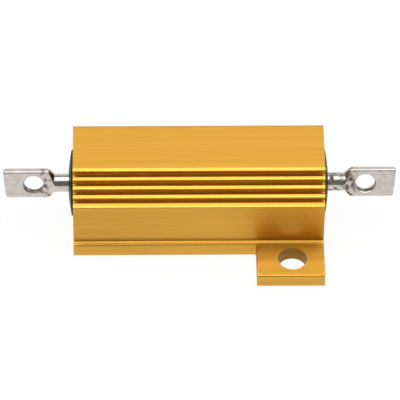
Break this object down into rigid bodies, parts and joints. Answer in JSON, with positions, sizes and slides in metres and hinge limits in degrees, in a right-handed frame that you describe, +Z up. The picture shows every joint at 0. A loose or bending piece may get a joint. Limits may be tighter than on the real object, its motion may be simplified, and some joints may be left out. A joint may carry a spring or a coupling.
{
  "type": "aluminium housed power resistor",
  "caption": "Chassis-mount wire-wound power resistor in a finned gold anodised aluminium housing, with diagonal fixing lugs and flattened solder tags with holes.",
  "frame": {"origin": "centre of the housing's underside, midway between the two fixing holes", "axes": "+X along the leads, towards the end with the front lug; +Y towards the rear lug's side; +Z up, away from the mounting face"},
  "size_m": [0.0302, 0.0152, 0.0075],
  "materials": {
    "housing": "gold anodised, with fine lengthwise extrusion lines",
    "moulding": "black moulded compound, satin",
    "core": "unglazed",
    "wire": "drawn resistance alloy",
    "caps": "pressed, plain",
    "terminals": "tin plated, mottled, with brown flux stains"
  },
  "bodies": {
    "root": {"housing": "housing", "moulding": "moulding", "ceramic_core": "core", "resistance_wire": "wire", "end_cap_left": "caps", "end_cap_right": "caps", "terminal_left": "terminals", "terminal_right": "terminals"}
  },
  "joints": []
}
